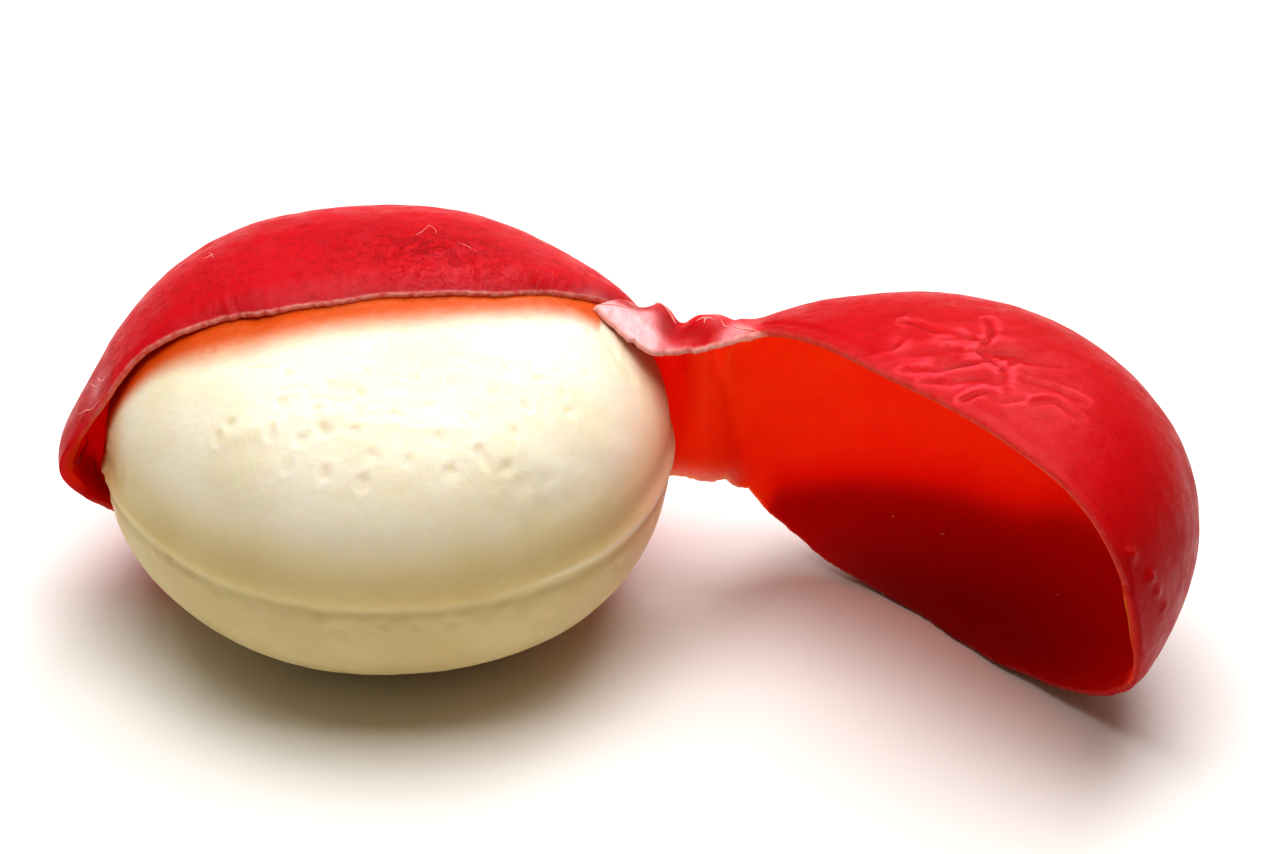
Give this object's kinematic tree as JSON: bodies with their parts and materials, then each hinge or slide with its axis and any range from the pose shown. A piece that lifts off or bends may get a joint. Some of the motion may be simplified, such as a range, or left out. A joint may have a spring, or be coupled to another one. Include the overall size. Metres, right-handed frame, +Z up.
{
  "type": "small wax-coated cheese, opened",
  "caption": "Small domed cheese in a red wax skin torn open along one side, its front half swung out on a neck of wax.",
  "frame": {"origin": "on the surface that the part stands on, under the cheese's middle, in the flat spot of the wax below it", "axes": "+Z up; +X from the cheese to the opened half of the wax; -Y towards the bare side of the cheese"},
  "size_m": [0.0754, 0.0433, 0.0252],
  "materials": {
    "cheese": "smooth and slightly moist, with small pits",
    "wax": "satin translucent wax, scuffed outside, paler at torn edges"
  },
  "bodies": {
    "root": {"cheese": "cheese", "wax": "wax"}
  },
  "joints": []
}
